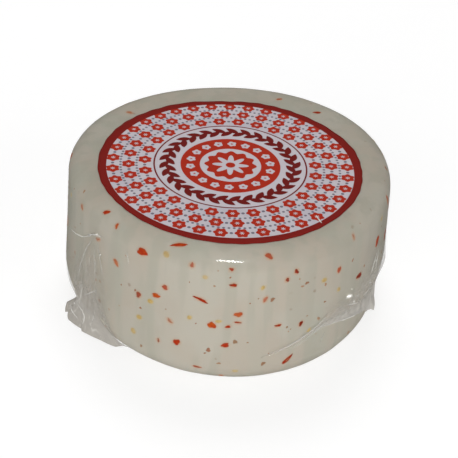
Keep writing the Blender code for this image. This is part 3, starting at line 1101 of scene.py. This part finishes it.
# Small dents that mirror the lamp, their film also painted white as a painted highlight: azimuth, height,
# half length, half width and turn
glints = (
    (-44, 45, 2.5, 1.2, 20),
    (-40, 38, 0.6, 0.4, 60),
    (-38, 40, 0.5, 0.3, -30),
    (-42, 48, 0.4, 0.3, 0),
    (-26, 52, 0.6, 0.4, 70),
    (-29, 40, 0.5, 0.3, 60),
    (-139, 71, 0.9, 0.4, 0),
    (-137, 60, 0.5, 0.3, 0),
    (-152, 12, 0.6, 0.4, 0),
)
crease = {
    "steps": 10,
    # its section, across in half widths and up in heights, with the share of painted highlight at each
    # corner
    "section": ((-1, -0.2, 0), (-0.4, 0.7, 0.8), (0, 1, 1), (0.4, 0.7, 0.8), (1, -0.2, 0), (0, -0.5, 0)),
    "height": 0.05 * mm,
    "cover": 1.25,
    "thinnest": 0.15,  # at its ends, as a share of its width
    "taper": 0.6,
    "lift": 0.05 * mm,
    "reach": 200 * mm,  # the distance from which it is laid on the film
    "glintDepth": 0.12 * mm,
    "glintPaintedHighlight": 0.6,
}


def addCrease(bm, layers, stations, halfWidth, paintedHighlight):
    # its section is carried from station to station, and thins out at both ends; its corners are painted
    # white as a painted highlight
    cap, corners = None, None
    last = len(stations) - 1
    for i, (place, normal) in enumerate(stations):
        ahead = stations[min(i + 1, last)][0] - stations[max(i - 1, 0)][0]
        side = normal.cross(ahead).normalized()
        size = between(crease["thinnest"], 1, math.sin(math.pi * i / last) ** crease["taper"])
        spots = [place + side * (x * halfWidth * size) + normal * (y * crease["height"] + crease["lift"])
                 for x, y, _ in crease["section"]]
        if cap is None:
            corners = [bm.verts.new(spot) for spot in spots]
            cap = bm.faces.new(corners)
        else:
            cap = extruded(bm, cap)
            before = [corner.co.copy() for corner in corners]
            fresh = list(cap.verts)
            corners = [min(fresh, key=lambda vert: (vert.co - old).length) for old in before]
            for corner, spot in zip(corners, spots):
                corner.co = spot
        for corner, (_, _, highlightShare) in zip(corners, crease["section"]):
            corner[layers["haze"]] = min(paintedHighlight * highlightShare * size * crease["cover"], 1)
            corner[layers["paintedLight"]] = 1


def outerFilm(pieces):
    # the film's skin and ears as one surface
    spots, faces = [], []
    for piece in pieces:
        faces += [[index + len(spots) for index in face.vertices] for face in piece.data.polygons]
        spots += [vert.co for vert in piece.data.vertices]
    return BVHTree.FromPolygons(spots, faces)


def onFilm(film, degrees, level):
    outwards = polar(math.radians(degrees), 1, 0)
    start = outwards * crease["reach"] + Vector((0, 0, level * mm))
    place, normal, _, _ = film.ray_cast(start, -outwards)
    return place, normal


def makeCreases(film, finish):
    bm = bmesh.new()
    layers = newLayers(bm, "haze", "paintedLight")
    for halfWidth, paintedHighlight, points in skinCreases:
        stations = [onFilm(film, *point) for point in smoothRoute(points, crease["steps"])]
        addCrease(bm, layers, stations, halfWidth * mm, paintedHighlight)
    halfWidth, paintedHighlight, points = topCrease
    stations = []
    for x, y in smoothRoute(points, crease["steps"]):
        place, normal, _, _ = film.ray_cast(Vector((x * mm, y * mm, crease["reach"])), Vector((0, 0, -1)))
        stations.append((place, normal))
    addCrease(bm, layers, stations, halfWidth * mm, paintedHighlight)
    bmesh.ops.recalc_face_normals(bm, faces=bm.faces)
    addFilm("film_creases", bm, finish)


def makeGlints(film, finish):
    bm = bmesh.new()
    layers = newLayers(bm, "haze", "paintedLight")
    for degrees, level, halfLength, halfWidth, turn in glints:
        place, _ = onFilm(film, degrees, level)
        toLamp = lampPlace(*studio["shine"][:3]) - place
        toCamera = Vector(view["place"]) - place
        facing = (toLamp.normalized() + toCamera.normalized()).normalized()
        made = ball(bm, (halfLength * mm, halfWidth * mm, crease["glintDepth"]))
        bmesh.ops.transform(bm, matrix=layOn(place, facing, turn), verts=made)
        for vert in made:
            # painted highlight: the glint's film is painted white on top of the lamp it mirrors
            vert[layers["haze"]] = crease["glintPaintedHighlight"]
            vert[layers["paintedLight"]] = 1
    bmesh.ops.recalc_face_normals(bm, faces=bm.faces)
    addFilm("film_glints", bm, finish)


clearFilm = filmFinish("clearFilm", film["sheen"])
gatheredFilm = filmFinish("gatheredFilm", film["gatheredSheen"])
filmPieces = [makeSkin(clearFilm), makeEar(leftEar, gatheredFilm), makeEar(rightEar, gatheredFilm)]
outer = outerFilm(filmPieces)
makeCreases(outer, gatheredFilm)
makeGlints(outer, clearFilm)

# Floor, light and camera

def makeStudio():
    finish, _, _ = newFinish(
        "paleFloor", Base_Color=studio["floorColour"], Roughness=0.85, Specular_IOR_Level=0.1,
        Emission_Color=(1, 1, 1, 1), Emission_Strength=studio["floorGlow"],
    )
    bm = bmesh.new()
    bmesh.ops.create_grid(bm, x_segments=1, y_segments=1, size=studio["floorSize"] / 2)
    floor = addMesh("floor", bm, finish)
    floor.visible_glossy = False  # the film mirrors dark surroundings, as it does in a studio
    world = bpy.data.worlds.new("studio")
    world.use_nodes = True
    start = Strand(world.node_tree)
    direction = start.add("ShaderNodeTexCoord", out="Generated")
    height = direction.add("ShaderNodeSeparateXYZ", values={"Vector": direction}, out="Z")
    colour = height.step(-0.02, 0.02).tint(studio["below"], studio["around"])
    height.step(0.22, 0.45).tint(colour, studio["above"]).into(world.node_tree.nodes["Background"], "Color")
    bpy.context.scene.world = world


def addLamp(name, azimuth, elevation, distance, width, height, power):
    lamp = bpy.data.lights.new(name, "AREA")
    lamp.shape = "ELLIPSE"
    lamp.size = width
    lamp.size_y = height
    lamp.energy = power
    holder = addObject(name, lamp)
    holder.location = lampPlace(azimuth, elevation, distance)
    holder.rotation_euler = (holder.location - middle).to_track_quat("Z", "Y").to_euler()
    return holder


def makeCamera():
    data = bpy.data.cameras.new("camera")
    data.lens = view["lens"]
    data.sensor_width = 36
    data.clip_start = 0.01
    camera = addObject("camera", data)
    away = Vector(view["place"]) - Vector(view["aim"])
    turned = away.to_track_quat("Z", "Y").to_matrix() @ Matrix.Rotation(math.radians(view["roll"]), 3, "Z")
    camera.location = view["place"]
    camera.rotation_euler = turned.to_euler()
    bpy.context.scene.camera = camera


makeStudio()
for lampName in ("front", "side", "right", "back"):
    addLamp(lampName, *studio[lampName]).visible_glossy = False
shine = addLamp("shine", *studio["shine"])
shine.visible_diffuse = False
makeCamera()
bpy.context.scene.view_settings.view_transform = "Standard"
print("studio ready")
